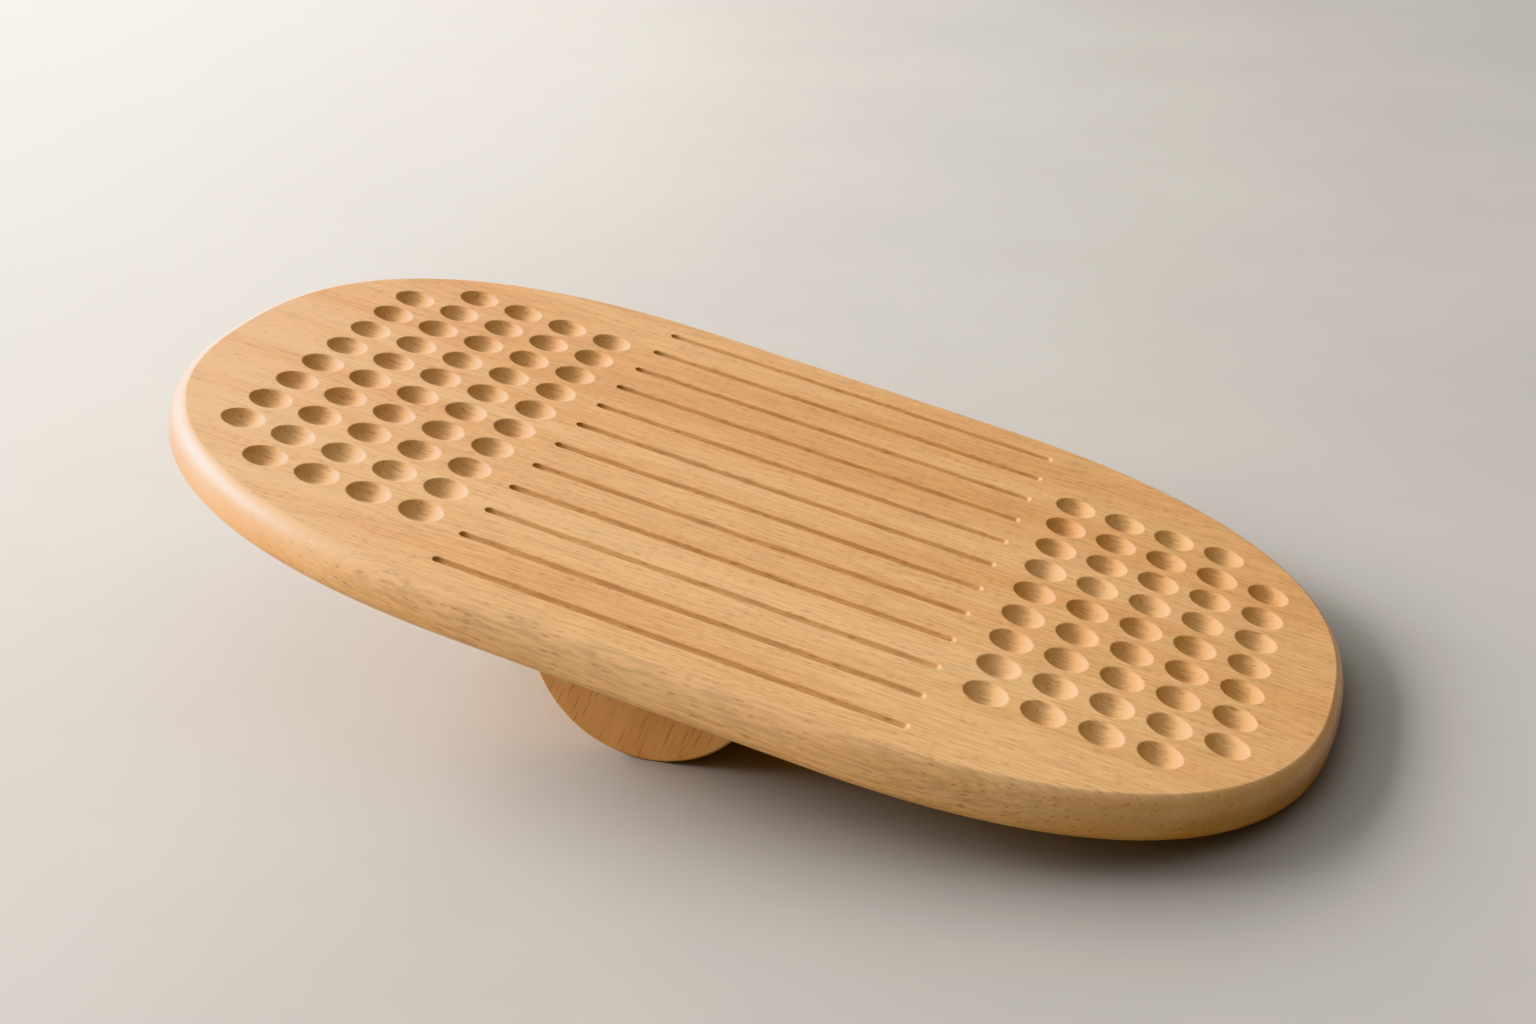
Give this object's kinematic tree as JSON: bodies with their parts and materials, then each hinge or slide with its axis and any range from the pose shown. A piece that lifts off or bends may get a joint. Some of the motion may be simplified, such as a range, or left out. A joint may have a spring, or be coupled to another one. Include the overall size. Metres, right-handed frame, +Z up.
{
  "type": "balance board",
  "caption": "Oval beech balance board with round foot-massage dimples and lengthwise grooves in its deck, bolted to a half-round rocker and resting on its low end.",
  "frame": {"origin": "middle of the board's bounding box on the floor that it stands on", "axes": "+X along the board towards the end that rests on the floor, +Y across it along the rocker, +Z up; the deck slopes down towards +X by 12.4 degrees"},
  "size_m": [0.5874, 0.37, 0.1495],
  "materials": {
    "deck_beech": "oiled satin beech, grain along the board",
    "rocker_beech": "oiled satin beech, ray flecks on the ends",
    "plug_beech": "oiled beech, cross-grain plug",
    "dowel_beech": "unfinished turned beech",
    "zinc_steel": "bright zinc plate",
    "brass": "turned brass"
  },
  "bodies": {
    "root": {"deck": "deck_beech", "rocker": "rocker_beech", "bolt_1": "zinc_steel", "washer_1": "zinc_steel", "threaded_insert_1": "brass", "plug_1": "plug_beech", "bolt_2": "zinc_steel", "washer_2": "zinc_steel", "threaded_insert_2": "brass", "plug_2": "plug_beech", "bolt_3": "zinc_steel", "washer_3": "zinc_steel", "threaded_insert_3": "brass", "plug_3": "plug_beech", "bolt_4": "zinc_steel", "washer_4": "zinc_steel", "threaded_insert_4": "brass", "plug_4": "plug_beech", "dowel_1": "dowel_beech", "dowel_2": "dowel_beech"}
  },
  "joints": []
}
